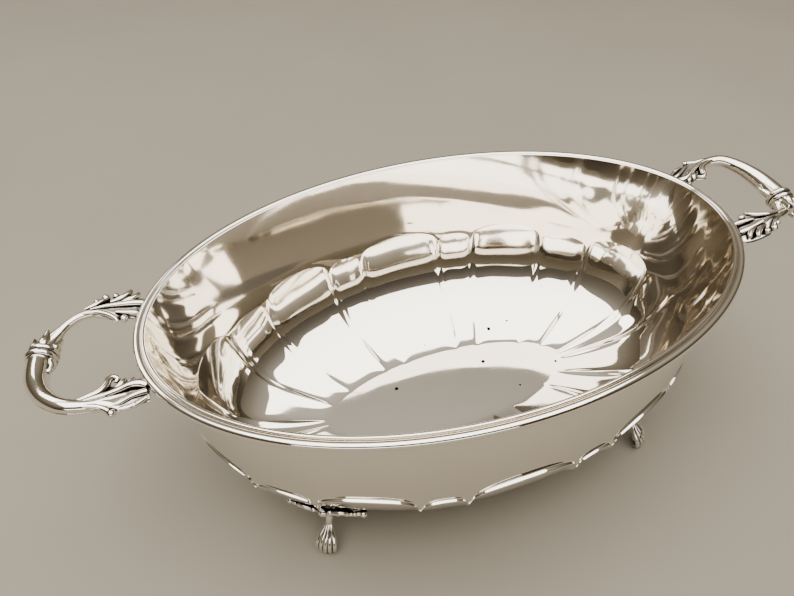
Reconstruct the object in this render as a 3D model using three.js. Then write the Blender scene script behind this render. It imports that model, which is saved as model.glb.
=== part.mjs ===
// Oval two-handled silver serving bowl on four cast feet.
// Millimetres, +Z up. The bowl stands on z = 0 with its middle over the origin and its
// long axis, the one through the handles, along X.
import * as THREE from "three";

// ---- driving dimensions ----
const RIM_HALF_LENGTH = 95.5; // to the outside of the rim wire, along X
const RIM_HALF_WIDTH = 59.6; // to the outside of the rim wire, along Y
const HEIGHT = 72; // table to the top of the rim wire
const WALL = 1.1; // sheet thickness of the raised bowl
const RIM_WIRE = 2.4; // how far the rim wire stands out from the wall
const GAP = 0.3; // solder gap left between neighbouring pieces

const WALL_TOP = HEIGHT - 0.3;
const TOP_HALF_LENGTH = RIM_HALF_LENGTH - RIM_WIRE;
const TOP_HALF_WIDTH = RIM_HALF_WIDTH - RIM_WIRE;
const SHOULDER_HALF_LENGTH = 87; // outline through the cusps between the lobes
const SHOULDER_HALF_WIDTH = 56.8;
const SHOULDER_Z = 32; // height of those cusps
const FLOOR_Z = 7; // underside of the flat bottom
const FLOOR_INSET = 27; // from the shoulder outline in to where the belly's curve ends
const DISH = 13; // width of the shallow slope between that curve and the flat bottom
const BELLY_LEAN = 20; // degrees inward from upright at which the belly starts

// Lobes round the belly, as angles in degrees, starting with the narrow lobe on the +X end.
const HALF_TURN_LOBES = [14, 25.2, 15.4, 21.6, 9.3, 23, 9.3, 21.6, 15.4, 25.2];
const LOBE_COUNT = 2 * HALF_TURN_LOBES.length;
const WIDE = { arch: 8, bulge: 1.3, columns: 7 };
const NARROW = { arch: 4.5, bulge: 0.8, columns: 5 };
const LEDGE = 0.9; // height of the turn from the smooth wall out to the lobe
const CREASE = 1.6; // how far the creases between the lobes are pressed in

const FOOT_ANGLE = 47.6; // degrees from +X to the cusp that a foot is soldered under
const FOOT_LEAF_Z = 20.5; // height of the middle of a foot's leaf
const FOOT_LEAF = { halfWidth: 13, halfHeight: 6, thick: 2.1 };
const LEG_BELOW_LEAF = 3.5; // from the middle of the leaf down to where the leg starts
const FOOT_SPLAY = 57; // degrees from +X in which a foot's toe points

const HANDLE_REACH = 119.4; // from the middle of the bowl to the collar of a handle
const HANDLE_Z = HEIGHT - 3.2; // height at which a handle meets the rim
const LEAF_Y = 16.4; // from the long axis to the middle of a handle's leaf
const COLLAR = { outer: 4.3, inner: 3.2, length: 4.2 };

const SILVER = { color: 0xcfcabd, metalness: 1, roughness: 0.12 };
const OXIDISED = { color: 0xb9b3a5, metalness: 1, roughness: 0.24 };

const TURN = 2 * Math.PI;
const radians = THREE.MathUtils.degToRad;
const lerp = THREE.MathUtils.lerp;

// ---- helpers ----

// A closed body through rings that all have the same number of points. Neighbouring rings are
// joined and both ends are closed with a fan, unless the last ring joins the first.
function skin(rings, closedLoop = false) {
  const count = rings[0].length;
  const points = rings.flat();
  const faces = [];
  const lastRing = closedLoop ? rings.length : rings.length - 1;
  for (let r = 0; r < lastRing; r++) {
    const here = r * count;
    const next = ((r + 1) % rings.length) * count;
    for (let i = 0; i < count; i++) {
      const j = (i + 1) % count;
      faces.push(here + i, here + j, next + j, here + i, next + j, next + i);
    }
  }
  if (!closedLoop) {
    const ends = [
      [0, rings[0], true],
      [(rings.length - 1) * count, rings[rings.length - 1], false],
    ];
    for (const [first, ring, reversed] of ends) {
      const middle = new THREE.Vector3();
      for (const point of ring) middle.addScaledVector(point, 1 / count);
      points.push(middle);
      const hub = points.length - 1;
      for (let i = 0; i < count; i++) {
        const a = first + i;
        const b = first + ((i + 1) % count);
        if (reversed) faces.push(hub, b, a);
        else faces.push(hub, a, b);
      }
    }
  }
  if (signedVolume(points, faces) < 0) faces.reverse();
  const geometry = new THREE.BufferGeometry().setFromPoints(points);
  geometry.setIndex(faces);
  geometry.computeVertexNormals();
  return geometry;
}

// Six times the volume inside the faces, negative where they are inside out.
function signedVolume(points, faces) {
  let sum = 0;
  const cross = new THREE.Vector3();
  for (let i = 0; i < faces.length; i += 3) {
    cross.crossVectors(points[faces[i + 1]], points[faces[i + 2]]);
    sum += points[faces[i]].dot(cross);
  }
  return sum;
}

// A bar with an oval section swept along a curve. section(s) gives its half width and half
// height at s from 0 to 1; sideAt gives the direction in which the width is measured there.
function sweep(curve, steps, sides, section, sideAt) {
  const rings = [];
  for (let i = 0; i <= steps; i++) {
    const s = i / steps;
    const middle = curve.getPointAt(s);
    const along = curve.getTangentAt(s);
    const side = sideAt(along);
    const up = new THREE.Vector3().crossVectors(along, side).normalize();
    const { width, height } = section(s);
    const ring = [];
    for (let k = 0; k < sides; k++) {
      const a = (k / sides) * TURN;
      const point = middle.clone().addScaledVector(side, width * Math.cos(a));
      ring.push(point.addScaledVector(up, height * Math.sin(a)));
    }
    rings.push(ring);
  }
  return skin(rings);
}

// Width measured level with the table.
const levelSide = (along) => new THREE.Vector3(-along.y, along.x, 0).normalize();

function piece(name, geometry, finish = SILVER) {
  const mesh = new THREE.Mesh(geometry, new THREE.MeshStandardMaterial(finish));
  mesh.name = name;
  return mesh;
}

// A value read off a list of [place, value] stops by straight lines between them.
function between(stops, s) {
  let k = 1;
  while (k < stops.length - 1 && s > stops[k][0]) k++;
  const [s0, v0] = stops[k - 1];
  const [s1, v1] = stops[k];
  return lerp(v0, v1, THREE.MathUtils.clamp((s - s0) / (s1 - s0), 0, 1));
}

// ---- the raised bowl ----

// One column for each line of points that runs down the bowl: its angle, its lobe and its
// place across that lobe, -1 and 1 on the cusps and 0 in the middle.
function lobeColumns() {
  const columns = [];
  let start = -HALF_TURN_LOBES[0] / 2;
  for (let n = 0; n < LOBE_COUNT; n++) {
    const degrees = HALF_TURN_LOBES[n % HALF_TURN_LOBES.length];
    const lobe = n % 2 ? WIDE : NARROW;
    for (let k = 0; k < lobe.columns; k++) {
      const across = (2 * k) / lobe.columns - 1;
      columns.push({ angle: radians(start + (degrees * (across + 1)) / 2), lobe, across });
    }
    start += degrees;
  }
  return columns;
}

// Point on an oval of the given half lengths, moved square to its outline by `out`.
function ovalPoint(angle, halfLength, halfWidth, out, z) {
  const x = halfLength * Math.cos(angle);
  const y = halfWidth * Math.sin(angle);
  const normal = new THREE.Vector2(x / halfLength ** 2, y / halfWidth ** 2).normalize();
  return new THREE.Vector3(x + out * normal.x, y + out * normal.y, z);
}

// Smooth upper wall: the outline widens from the shoulder up to the rim.
function wallPoint(angle, z, out) {
  const rise = (z - SHOULDER_Z) / (WALL_TOP - SHOULDER_Z);
  const flare = Math.max(rise, 0) ** 1.3;
  const halfLength = lerp(SHOULDER_HALF_LENGTH, TOP_HALF_LENGTH, flare);
  const halfWidth = lerp(SHOULDER_HALF_WIDTH, TOP_HALF_WIDTH, flare);
  return ovalPoint(angle, halfLength, halfWidth, out, z);
}

// Belly below the shoulder. drop runs from 0 at the shoulder to 1 at the flat bottom, topZ is
// where this column starts, bulge pushes the lobe out, crease presses it in halfway down and
// thickness moves inwards.
function bellyPoint(angle, drop, topZ, bulge, crease, thickness) {
  const lean = radians(BELLY_LEAN);
  const turn = Math.asin(lerp(Math.sin(lean), 1, drop));
  const upright = Math.cos(turn) / Math.cos(lean);
  const inset = FLOOR_INSET * (1 - upright);
  const pressed = crease * 4 * upright * (1 - upright);
  const out = bulge * upright ** 0.8 - pressed - inset - thickness * Math.cos(turn);
  const z = lerp(topZ, FLOOR_Z, drop) + thickness * Math.sin(turn);
  const point = ovalPoint(angle, SHOULDER_HALF_LENGTH, SHOULDER_HALF_WIDTH, out, z);
  const dished = DISH * drop ** 8;
  point.x *= 1 - dished / (SHOULDER_HALF_LENGTH - FLOOR_INSET);
  point.y *= 1 - dished / (SHOULDER_HALF_WIDTH - FLOOR_INSET);
  return point;
}

const archZ = ({ lobe, across }) =>
  SHOULDER_Z + lobe.arch * (1 - Math.abs(across) ** 2.6) ** (1 / 2.6);
const bulgeOut = ({ lobe, across }) => lobe.bulge * (1 - Math.abs(across) ** 2.2);
const creaseIn = ({ across }) => CREASE * Math.abs(across) ** 3;

function bowlBody() {
  const columns = lobeColumns();
  const wallSteps = 3;
  const bellySteps = 8;
  // Rings of one face of the sheet, from the flat bottom up to the edge.
  const face = (thickness) => {
    const rings = [];
    for (let k = bellySteps; k >= 0; k--) {
      const drop = Math.sin((k / bellySteps) * (Math.PI / 2));
      rings.push(
        columns.map((c) =>
          bellyPoint(c.angle, drop, archZ(c) - LEDGE, bulgeOut(c), creaseIn(c), thickness),
        ),
      );
    }
    for (let k = 0; k <= wallSteps; k++) {
      rings.push(
        columns.map((c) => wallPoint(c.angle, lerp(archZ(c), WALL_TOP, k / wallSteps), -thickness)),
      );
    }
    return rings;
  };
  return skin([...face(0), ...face(WALL).reverse()]);
}

function rimWire() {
  const steps = 120;
  // Half-round moulding, as [distance out from the wall, height].
  const section = [
    [GAP, HEIGHT - 3.2],
    [1.3, HEIGHT - 3.4],
    [2.1, HEIGHT - 2.7],
    [RIM_WIRE, HEIGHT - 1.7],
    [2.2, HEIGHT - 0.7],
    [1.5, HEIGHT],
    [GAP, HEIGHT],
  ];
  const rings = [];
  for (let i = 0; i < steps; i++) {
    const angle = (i / steps) * TURN;
    rings.push(
      section.map(([out, z]) => ovalPoint(angle, TOP_HALF_LENGTH, TOP_HALF_WIDTH, out, z)),
    );
  }
  return skin(rings, true);
}

// ---- a foot: a leaf that hugs the belly, and a leg with a drop-shaped toe ----

// Point on a smooth skin just outside the lobes, `lift` away from them, at a distance `along`
// the outline from the foot's middle and at a height `up` above it.
function footSkin(angle, along, up, lift) {
  const here = ovalPoint(angle, SHOULDER_HALF_LENGTH, SHOULDER_HALF_WIDTH, 0, 0);
  const nearby = ovalPoint(angle + 0.01, SHOULDER_HALF_LENGTH, SHOULDER_HALF_WIDTH, 0, 0);
  const perMillimetre = 0.01 / here.distanceTo(nearby);
  const topZ = SHOULDER_Z + WIDE.arch - LEDGE;
  const drop = (topZ - FOOT_LEAF_Z - up) / (topZ - FLOOR_Z);
  return bellyPoint(angle + along * perMillimetre, drop, topZ, WIDE.bulge + 0.6, 0, -lift);
}

function footLeaf(angle) {
  const petals = 5;
  const around = 30;
  const reaches = [0.35, 0.7, 1];
  const outline = (a) => 1 - 0.22 * Math.abs(Math.sin((petals * (a + Math.PI / 2)) / 2));
  const face = (lift) =>
    reaches.map((reach) => {
      const ring = [];
      for (let k = 0; k < around; k++) {
        const a = (k / around) * TURN;
        const along = FOOT_LEAF.halfWidth * Math.cos(a) * outline(a) * reach;
        const up = FOOT_LEAF.halfHeight * Math.sin(a) * outline(a) * reach;
        ring.push(footSkin(angle, along, up, lift(reach)));
      }
      return ring;
    });
  const back = face(() => GAP);
  const front = face((reach) => GAP + lerp(FOOT_LEAF.thick, 0.6, reach ** 2));
  return skin([...back, ...front.reverse()]);
}

function footLeg(angle) {
  const root = footSkin(angle, 0, -LEG_BELOW_LEAF, 2 * GAP + FOOT_LEAF.thick);
  const inside = footSkin(angle, 0, -LEG_BELOW_LEAF, GAP);
  const facing = root.clone().sub(inside).normalize();
  const splay = radians(FOOT_SPLAY);
  const outward = new THREE.Vector3(
    Math.sign(root.x) * Math.cos(splay),
    Math.sign(root.y) * Math.sin(splay),
    0,
  );
  const at = (out, z) => new THREE.Vector3(root.x, root.y, z).addScaledVector(outward, out);
  const curve = new THREE.CatmullRomCurve3([
    root,
    root.clone().addScaledVector(facing, 1.6),
    at(2.2, root.z - 3.6),
    at(3.4, root.z - 7.5),
    at(5.2, 4.6),
    at(6.6, 2.2),
    at(7.1, 1),
    at(7.1, 0),
  ]);
  const tangential = new THREE.Vector3(-outward.y, outward.x, 0);
  const wide = [[0, 1.9], [0.12, 1.5], [0.4, 1.3], [0.6, 2.3], [0.82, 3.3], [0.93, 3.1], [1, 2.2]];
  const deep = [[0, 1.8], [0.12, 1.3], [0.4, 1.1], [0.6, 1.4], [0.82, 2.2], [0.93, 2.3], [1, 1.8]];
  const section = (s) => ({ width: between(wide, s), height: between(deep, s) });
  return sweep(curve, 16, 12, section, () => tangential);
}

// ---- a handle, modelled on the -X end ----

// Point of a handle's middle line, `rise` above the height at which it meets the rim.
const handlePoint = (x, y, rise) => new THREE.Vector3(x, y, HANDLE_Z + rise);

function handle(side) {
  const group = new THREE.Group();
  const name = (part) => `handle_${side}_${part}`;

  const collarAt = handlePoint(-HANDLE_REACH, 5.6, 0.2);
  const collarAxis = new THREE.Vector3(0.2, 1, -0.1).normalize();
  const inCollar = (shift) => collarAt.clone().addScaledVector(collarAxis, shift);

  // Lower arm: the plain heavy scroll, from its leaf round to the collar.
  const lowerArm = new THREE.CatmullRomCurve3([
    handlePoint(-105.4, -18.6, 3.3),
    handlePoint(-107, -18.5, 3.6),
    handlePoint(-110.4, -17.6, 4.2),
    handlePoint(-113.8, -15.2, 4),
    handlePoint(-117.2, -10.6, 2.9),
    handlePoint(-119.6, -4.6, 1.5),
    inCollar(-COLLAR.length / 2 - 1),
    inCollar(-GAP / 2),
  ]);
  const lowerSize = [[0, 1.9], [0.3, 2.1], [0.7, 2.3], [0.88, 2.9], [1, 2.9]];
  const lowerSection = (s) => ({ width: between(lowerSize, s), height: between(lowerSize, s) });
  group.add(piece(name("lower_arm"), sweep(lowerArm, 22, 10, lowerSection, levelSide)));

  // Calyx: the bud of leaves above the collar that the thin arm grows from.
  const calyx = new THREE.CatmullRomCurve3([
    inCollar(GAP / 2),
    inCollar(COLLAR.length / 4),
    inCollar(COLLAR.length / 2 + 0.4),
    inCollar(COLLAR.length / 2 + 1.4),
    handlePoint(-117, 10.6, 0.6),
    handlePoint(-115.4, 11.9, 1.3),
  ]);
  const calyxWide = [[0, 2.6], [0.38, 2.6], [0.6, 3.8], [0.85, 2.1], [1, 1.6]];
  const calyxHigh = [[0, 2.6], [0.38, 2.6], [0.6, 2.9], [0.85, 1.9], [1, 1.5]];
  const calyxSection = (s) => ({ width: between(calyxWide, s), height: between(calyxHigh, s) });
  group.add(piece(name("calyx"), sweep(calyx, 12, 10, calyxSection, levelSide), OXIDISED));

  // Upper arm: the thin scroll back to the rim.
  const upperArm = new THREE.CatmullRomCurve3([
    handlePoint(-115.05, 12.25, 1.4),
    handlePoint(-112.6, 14, 2.2),
    handlePoint(-109.4, 15.2, 2.9),
    handlePoint(-106.8, 15.6, 2.9),
    handlePoint(-105.4, 15.6, 2.8),
  ]);
  const upperSection = (s) => ({ width: lerp(1.35, 1.5, s), height: lerp(1.35, 1.5, s) });
  group.add(piece(name("upper_arm"), sweep(upperArm, 10, 10, upperSection, levelSide)));

  // Collar: two beads round the joint of the arms.
  const bead = COLLAR.outer - COLLAR.inner;
  const profile = [new THREE.Vector2(COLLAR.inner, -COLLAR.length / 2)];
  const beadSteps = 4;
  for (const middle of [-COLLAR.length / 4, COLLAR.length / 4]) {
    for (let k = 0; k <= beadSteps; k++) {
      const a = (k / beadSteps - 0.5) * Math.PI;
      const height = middle + (COLLAR.length / 4 - 0.05) * Math.sin(a);
      profile.push(new THREE.Vector2(COLLAR.inner + 0.3 + (bead - 0.3) * Math.cos(a), height));
    }
  }
  profile.push(new THREE.Vector2(COLLAR.inner, COLLAR.length / 2));
  profile.push(profile[0].clone());
  const collar = piece(name("collar"), new THREE.LatheGeometry(profile, 20));
  collar.position.copy(collarAt);
  collar.quaternion.setFromUnitVectors(new THREE.Vector3(0, 1, 0), collarAxis);
  group.add(collar);

  // Leaves: a serrated leaf sheathes the end of each arm and is soldered to the rim wire.
  const leaves = [
    ["lower_leaf", -18.6, -1],
    ["upper_leaf", 15.6, 1],
  ];
  const tipX = -104.9;
  const rimX = -RIM_HALF_LENGTH * Math.sqrt(1 - (LEAF_Y / RIM_HALF_WIDTH) ** 2) - 2.3;
  for (const [part, tipY, end] of leaves) {
    const leaf = new THREE.CatmullRomCurve3([
      handlePoint(tipX, tipY, 3.1),
      handlePoint(lerp(tipX, rimX, 0.35), tipY, 2.4),
      handlePoint(lerp(tipX, rimX, 0.7), lerp(tipY, end * LEAF_Y, 0.6), 1.1),
      handlePoint(rimX, end * LEAF_Y, 0),
    ]);
    const spread = [[0, 2.3], [0.25, 3], [0.5, 5.4], [0.62, 4.6], [0.8, 5.6], [1, 4.4]];
    const thick = [[0, 2.2], [0.3, 2.2], [0.6, 1.9], [1, 1.8]];
    const section = (s) => ({ width: between(spread, s), height: between(thick, s) });
    group.add(piece(name(part), sweep(leaf, 12, 12, section, levelSide), OXIDISED));
  }
  return group;
}

// ---- the whole bowl ----

const bowl = new THREE.Group();
bowl.add(piece("bowl_body", bowlBody()));
bowl.add(piece("rim_wire", rimWire()));

bowl.add(handle("left"));
const rightHandle = handle("right");
rightHandle.rotation.z = Math.PI;
bowl.add(rightHandle);

const corners = [
  ["front_right", -FOOT_ANGLE],
  ["back_right", FOOT_ANGLE],
  ["back_left", 180 - FOOT_ANGLE],
  ["front_left", 180 + FOOT_ANGLE],
];
for (const [corner, degrees] of corners) {
  bowl.add(piece(`foot_${corner}_leaf`, footLeaf(radians(degrees)), OXIDISED));
  bowl.add(piece(`foot_${corner}_leg`, footLeg(radians(degrees))));
}

export default bowl;
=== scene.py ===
import math

import bmesh
import bpy
from bpy.props import FloatProperty, FloatVectorProperty, IntProperty, PointerProperty
from mathutils import Matrix, Vector


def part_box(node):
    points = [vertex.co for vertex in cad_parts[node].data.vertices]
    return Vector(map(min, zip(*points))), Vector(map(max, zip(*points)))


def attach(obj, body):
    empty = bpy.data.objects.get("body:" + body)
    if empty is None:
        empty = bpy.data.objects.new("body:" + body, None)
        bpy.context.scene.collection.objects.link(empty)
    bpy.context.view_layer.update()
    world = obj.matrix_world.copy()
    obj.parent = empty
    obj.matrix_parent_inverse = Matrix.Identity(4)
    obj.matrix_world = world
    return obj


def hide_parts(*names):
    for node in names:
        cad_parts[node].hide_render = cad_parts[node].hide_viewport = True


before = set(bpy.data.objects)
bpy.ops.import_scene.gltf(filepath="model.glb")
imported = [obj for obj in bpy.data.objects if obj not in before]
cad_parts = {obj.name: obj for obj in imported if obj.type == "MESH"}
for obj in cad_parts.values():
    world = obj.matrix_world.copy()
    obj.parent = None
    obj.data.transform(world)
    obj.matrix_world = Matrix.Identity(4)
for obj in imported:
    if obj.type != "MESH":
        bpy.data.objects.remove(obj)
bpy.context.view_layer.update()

bl_info = {
    "name": "Oval silver serving bowl",
    "version": (1, 0, 0),
    "blender": (4, 5, 0),
    "location": "3D View > Sidebar > Silver Bowl",
    "description": "Fluted oval bowl with a moulded rim, cast leaf handles and leaf feet",
    "category": "Object",
}

MM = 0.001
BODY_LOW, BODY_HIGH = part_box("bowl_body")
RIM_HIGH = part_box("rim_wire")[1]

# Lobes in one quarter of the bowl, counted from the middle of the narrow lobe on the long
# axis. Each pair is (lobes passed, degrees turned from the long axis) at a crease.
CREASES = [(0, 0), (0.5, 7), (1.5, 32.2), (2.5, 47.6), (3.5, 69.2), (4.5, 78.5), (5, 90)]
LOBES = 20
FOOT_ANGLE = math.radians(47.6)  # the crease that a foot is soldered under
FOOT_SPLAY = math.radians(57)  # direction in which its toe points, from the long axis
FOOT_LEAF_Z = 20.5  # height of the middle of a foot's leaf
LEG_TOP = -3.5  # where the leg leaves the leaf, from the leaf's middle
HANDLE_DROP = 3.2  # from the top of the rim down to where a handle meets it
COLLAR_AT = (-119.4, 5.6, 0.2)  # middle of the collar, as (x, y, rise)
COLLAR_AXIS = Vector((0.2, 1, -0.1)).normalized()
SPECKS_BELOW = 3.2 * MM  # tarnish specks stay this near the underside of the bottom
WELD = 0.002 * MM  # grid points of the bowl nearer than this are one point
MARKED = 1e-6  # a thickness or a bead radius above this makes a bar or a bead
FLOOR_HALF = 3.0  # half width of the floor, in metres


def linear(code):
    """A colour written as sRGB hex, as linear red, green and blue."""
    parts = [int(code[i : i + 2], 16) / 255 for i in (1, 3, 5)]
    return tuple(c / 12.92 if c <= 0.04045 else ((c + 0.055) / 1.055) ** 2.4 for c in parts)


def per(millimetres):
    """The texture scale whose features are that far apart."""
    return 1 / (millimetres * MM)


def add(tree, kind, inputs=None, **settings):
    """Adds a node. inputs gives each socket, by number or name, a value or a socket."""
    node = tree.nodes.new(kind)
    for key, value in settings.items():
        setattr(node, key, value)
    for key, value in (inputs or {}).items():
        if isinstance(value, bpy.types.NodeSocket):
            tree.links.new(value, node.inputs[key])
        else:
            node.inputs[key].default_value = value
    return node


# ---- settings ----


class BowlSizes(bpy.types.PropertyGroup):
    top_half_length: FloatProperty(
        name="Top Half Length", description="Half length of the wall at its top",
        default=BODY_HIGH.x, unit="LENGTH", precision=4)
    top_half_width: FloatProperty(
        name="Top Half Width", description="Half width of the wall at its top",
        default=RIM_HIGH.y - 2.4 * MM, unit="LENGTH", precision=4)
    wall_height: FloatProperty(
        name="Wall Height", description="Height of the top edge of the wall",
        default=BODY_HIGH.z, unit="LENGTH", precision=4)
    shoulder_half_length: FloatProperty(
        name="Shoulder Half Length", description="Half length through the tops of the creases",
        default=87 * MM, unit="LENGTH", precision=4)
    shoulder_half_width: FloatProperty(
        name="Shoulder Half Width", description="Half width through the tops of the creases",
        default=56.8 * MM, unit="LENGTH", precision=4)
    shoulder_height: FloatProperty(
        name="Shoulder Height", description="Height of the tops of the creases",
        default=32 * MM, unit="LENGTH", precision=4)
    bottom_height: FloatProperty(
        name="Bottom Height", description="Height of the underside of the flat bottom",
        default=BODY_LOW.z, unit="LENGTH", precision=4)
    bottom_inset: FloatProperty(
        name="Bottom Inset", description="From the shoulder in to the end of the belly's curve",
        default=27 * MM, unit="LENGTH", precision=4)
    dish: FloatProperty(
        name="Dish", description="Width of the shallow slope between that curve and the bottom",
        default=13 * MM, unit="LENGTH", precision=4)
    belly_lean: FloatProperty(
        name="Belly Lean", description="How far the belly leans in where it starts",
        default=math.radians(20), subtype="ANGLE")
    wide_arch: FloatProperty(
        name="Wide Arch", description="How far a wide lobe rises above its creases",
        default=8 * MM, unit="LENGTH", precision=4)
    narrow_arch: FloatProperty(
        name="Narrow Arch", description="How far a narrow lobe rises above its creases",
        default=4.5 * MM, unit="LENGTH", precision=4)
    wide_bulge: FloatProperty(
        name="Wide Bulge", description="How far a wide lobe stands out",
        default=0.75 * MM, unit="LENGTH", precision=4)
    narrow_bulge: FloatProperty(
        name="Narrow Bulge", description="How far a narrow lobe stands out",
        default=0.45 * MM, unit="LENGTH", precision=4)
    crease: FloatProperty(
        name="Crease", description="How far the creases are pressed in",
        default=1.6 * MM, unit="LENGTH", precision=4)
    step: FloatProperty(
        name="Step", description="Width of the ledge where it passes a crease",
        default=0.35 * MM, unit="LENGTH", precision=4)
    ledge_slope: FloatProperty(
        name="Ledge Slope", description="Height of the ledge for its width", default=0.5)
    sheet: FloatProperty(
        name="Sheet", description="Thickness of the raised sheet",
        default=1.1 * MM, unit="LENGTH", precision=4)


class CastSizes(bpy.types.PropertyGroup):
    rod_sides: IntProperty(
        name="Rod Sides", description="Sides of every round bar of the castings", default=16)
    bead_detail: IntProperty(
        name="Bead Detail", description="Subdivisions of every small bead", default=3)


class SilverLook(bpy.types.PropertyGroup):
    silver: FloatVectorProperty(
        name="Silver", description="Colour of the clean polished metal",
        default=linear("#f2eee7"), subtype="COLOR", size=3, min=0, max=1)
    # Real tarnish in the bowl's specks, and painted shade in the shut-in recesses of the
    # castings.
    tarnish_and_shade: FloatVectorProperty(
        name="Tarnish", description="Colour of the sulphide left in recesses and specks",
        default=linear("#1d130c"), subtype="COLOR", size=3, min=0, max=1)
    polish: FloatProperty(
        name="Polish", description="Roughness of the best polished metal",
        default=0.035, min=0, max=1)


class StageLook(bpy.types.PropertyGroup):
    floor: FloatVectorProperty(
        name="Floor", description="Colour of the plain floor",
        default=linear("#9a958b"), subtype="COLOR", size=3, min=0, max=1)
    light: FloatProperty(
        name="Light", description="Power of the large overhead light, in watts",
        default=14.0, min=0)
    window: FloatProperty(
        name="Window", description="Power of the soft light behind the left handle, in watts",
        default=6.0, min=0)
    fill: FloatProperty(
        name="Fill", description="Power of the low soft light in front, in watts",
        default=4.0, min=0)
    lens: FloatProperty(
        name="Lens", description="Focal length of the camera, in millimetres", default=27.07)
    azimuth: FloatProperty(
        name="Azimuth", description="Turn of the camera round the bowl, from the front",
        default=-0.30897, subtype="ANGLE")
    elevation: FloatProperty(
        name="Elevation", description="Height of the camera above the level",
        default=0.77998, subtype="ANGLE")
    roll: FloatProperty(
        name="Roll", description="Tilt of the camera about its own line of sight",
        default=-0.02996, subtype="ANGLE")
    distance: FloatProperty(
        name="Distance", description="From the camera to the point it looks at",
        default=172.33 * MM, unit="LENGTH", precision=4)


class SilverBowlSettings(bpy.types.PropertyGroup):
    bowl: PointerProperty(type=BowlSizes)
    cast: PointerProperty(type=CastSizes)
    look: PointerProperty(type=SilverLook)
    stage: PointerProperty(type=StageLook)


# ---- materials ----


def polished_silver(look):
    """Sterling silver sheet, raised and buffed to a mirror: sharp reflections that waver a
    little where the hammer marks were planished out, and a few black specks of tarnish."""
    mat = bpy.data.materials.get("sterling_silver_mirror_buffed")
    if mat:
        return mat
    mat = bpy.data.materials.new("sterling_silver_mirror_buffed")
    mat.use_nodes = True
    tree = mat.node_tree
    shader = tree.nodes["Principled BSDF"]
    where = add(tree, "ShaderNodeTexCoord").outputs["Object"]

    # Buffing haze: patches about 12 mm across, a little less bright than the rest.
    haze = add(tree, "ShaderNodeTexNoise",
               {"Vector": where, "Scale": per(12.5), "Detail": 3.0, "Roughness": 0.55})
    # Hairline scratches from wiping, about 0.4 mm apart and drawn out along the bowl. The real
    # ones are finer than a render shows, so these are drawn coarser.
    wipe = add(tree, "ShaderNodeMapping",
               {"Vector": where, "Scale": (per(3.33333), per(0.384615), per(1.11111))})
    hair = add(tree, "ShaderNodeTexNoise",
               {"Vector": wipe.outputs[0], "Scale": 1.0, "Detail": 2.0})
    rough = add(tree, "ShaderNodeMapRange",
                {"Value": haze.outputs[0], "From Min": 0.35, "From Max": 0.75,
                 "To Min": look.polish, "To Max": look.polish + 0.035})
    scratched = add(tree, "ShaderNodeMapRange",
                    {"Value": hair.outputs[0], "From Min": 0.6, "From Max": 0.8,
                     "To Min": 0.0, "To Max": 0.04})
    total = add(tree, "ShaderNodeMath",
                {0: rough.outputs[0], 1: scratched.outputs[0]}, operation="ADD")

    # Specks of tarnish on the floor: cells 9 mm across, a few of which hold a ragged speck.
    cells = add(tree, "ShaderNodeTexVoronoi", {"Vector": where, "Scale": per(9.0909)},
                voronoi_dimensions="2D")
    cell_pick = add(tree, "ShaderNodeSeparateColor", {0: cells.outputs["Color"]})
    ragged = add(tree, "ShaderNodeTexNoise",
                 {"Vector": where, "Scale": per(0.625), "Detail": 2.0})
    edge = add(tree, "ShaderNodeMath",
               {0: ragged.outputs[0], 1: 0.09, 2: cells.outputs["Distance"]},
               operation="MULTIPLY_ADD")
    size = add(tree, "ShaderNodeMapRange",
               {"Value": cell_pick.outputs[0], "From Min": 0.8, "From Max": 1.0,
                "To Min": 0.0, "To Max": 0.13})
    speck = add(tree, "ShaderNodeMath",
                {0: edge.outputs[0], 1: size.outputs[0]}, operation="LESS_THAN")
    height = add(tree, "ShaderNodeSeparateXYZ", {0: where})
    low = add(tree, "ShaderNodeMath",
              {0: height.outputs[2], 1: BODY_LOW.z + SPECKS_BELOW}, operation="LESS_THAN")
    speck_low = add(tree, "ShaderNodeMath",
                    {0: speck.outputs[0], 1: low.outputs[0]}, operation="MULTIPLY")
    colour = add(tree, "ShaderNodeMix",
                 {"Factor": speck_low.outputs[0], "A": (*look.silver, 1.0),
                  "B": (*look.tarnish_and_shade, 1.0)}, data_type="RGBA")
    dull = add(tree, "ShaderNodeMath",
               {0: speck_low.outputs[0], 1: 0.5, 2: total.outputs[0]},
               operation="MULTIPLY_ADD")

    # Planishing: the sheet wavers by a few hundredths of a millimetre over 15 mm.
    waver = add(tree, "ShaderNodeTexNoise",
                {"Vector": where, "Scale": per(15.385), "Detail": 1.0})
    bump = add(tree, "ShaderNodeBump",
               {"Height": waver.outputs[0], "Strength": 1.0, "Distance": 0.045 * MM})
    tree.links.new(bump.outputs[0], shader.inputs["Normal"])
    tree.links.new(colour.outputs["Result"], shader.inputs["Base Color"])
    tree.links.new(dull.outputs[0], shader.inputs["Roughness"])
    shader.inputs["Metallic"].default_value = 1.0
    return mat


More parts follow.
